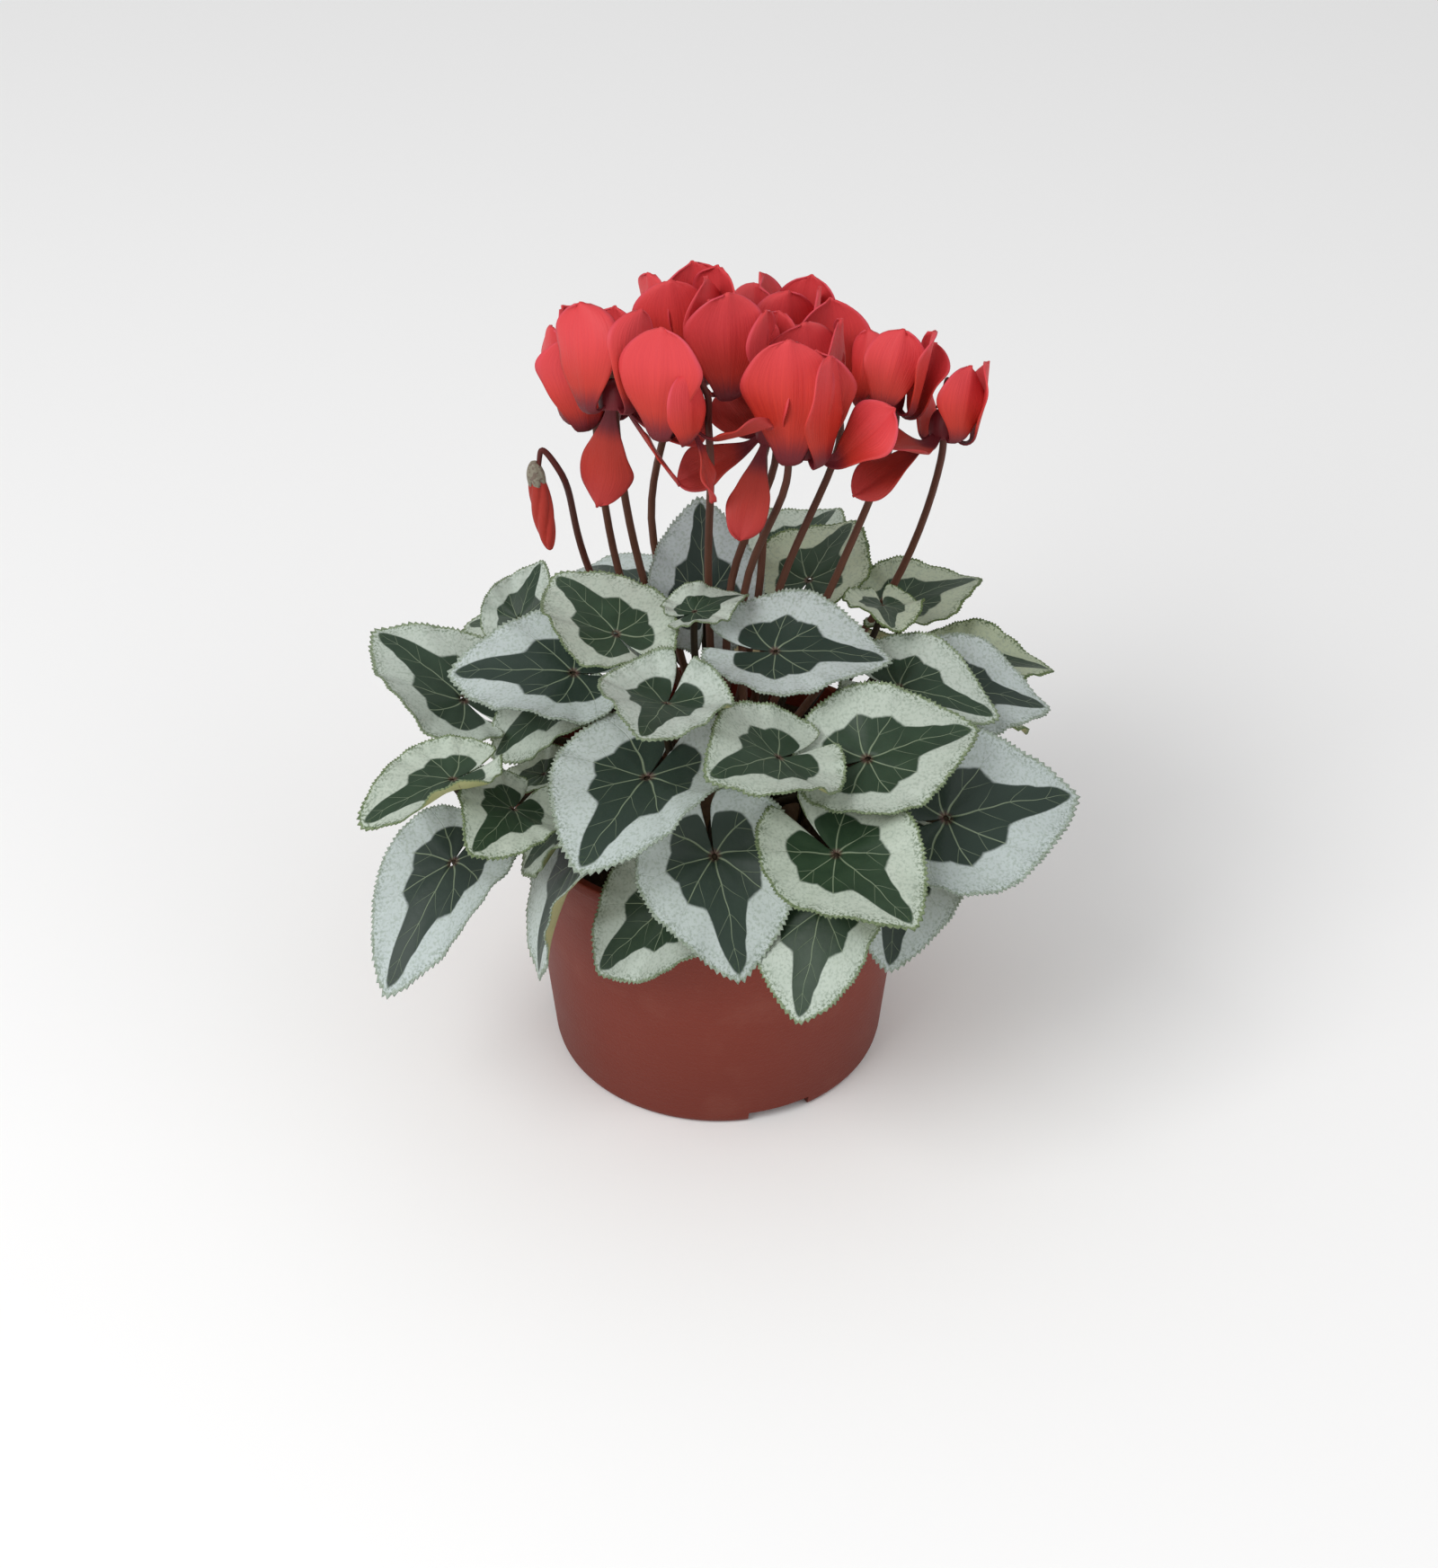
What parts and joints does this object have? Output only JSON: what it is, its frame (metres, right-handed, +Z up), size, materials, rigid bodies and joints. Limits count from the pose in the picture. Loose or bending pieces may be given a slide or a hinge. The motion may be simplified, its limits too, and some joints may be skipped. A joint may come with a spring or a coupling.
{
  "type": "potted cyclamen",
  "caption": "Silver-leaved cyclamen with red reflexed blooms on hooked stalks, growing from a corm in a soil-filled round plastic nursery pot that stands on its flat foot.",
  "frame": {"origin": "middle of the pot's flat underside", "axes": "+Z up along the pot's axis, +X to the viewer's right, -Y towards the viewer in the picture"},
  "size_m": [0.2245, 0.2039, 0.2754],
  "materials": {
    "pot": "matt terracotta-brown moulded plastic",
    "soil": "dark crumbly potting soil",
    "corm": "rough corky skin",
    "leaf": "silvery leaf with a dark green middle, pale veins and a toothed green margin",
    "stalk": "smooth dark red-brown stalk",
    "bloom": "satin red petal, deep crimson at its foot"
  },
  "bodies": {
    "root": {"pot": "pot", "potting_soil": "soil", "corm": "corm", "flower_stalk_1": "stalk", "bloom_1": "bloom", "flower_stalk_2": "stalk", "bloom_2": "bloom", "flower_stalk_3": "stalk", "bloom_3": "bloom", "flower_stalk_4": "stalk", "bloom_4": "bloom", "flower_stalk_5": "stalk", "bloom_5": "bloom", "flower_stalk_6": "stalk", "bloom_6": "bloom", "flower_stalk_7": "stalk", "bloom_7": "bloom", "flower_stalk_8": "stalk", "bloom_8": "bloom", "flower_stalk_9": "stalk", "bloom_9": "bloom", "flower_stalk_10": "stalk", "bloom_10": "bloom", "flower_stalk_11": "stalk", "bloom_11": "bloom", "bud_stalk": "stalk", "bud_petals": "bloom", "leaf_top_right": "leaf", "leaf_top_middle": "leaf", "leaf_top_left": "leaf", "leaf_heart": "leaf", "leaf_back_upright": "leaf", "leaf_middle_right": "leaf", "leaf_right": "leaf", "leaf_left": "leaf", "leaf_folded_left": "leaf", "leaf_large_front": "leaf", "leaf_far_right": "leaf", "leaf_front_right": "leaf", "leaf_front": "leaf", "leaf_low_left": "leaf", "leaf_front_left": "leaf", "leaf_far_left": "leaf", "leaf_back_left": "leaf", "leaf_wide_right": "leaf", "leaf_upper_right": "leaf", "leaf_small_top": "leaf", "leaf_rear_top": "leaf", "leaf_rear": "leaf", "leaf_small_right": "leaf", "leaf_gap_left": "leaf", "leaf_skirt_left": "leaf", "leaf_skirt_front_left": "leaf", "leaf_skirt_front": "leaf", "leaf_skirt_front_right": "leaf", "leaf_skirt_right": "leaf", "leaves_back_left": "leaf", "leaves_back": "leaf", "leaves_back_right": "leaf"}
  },
  "joints": []
}
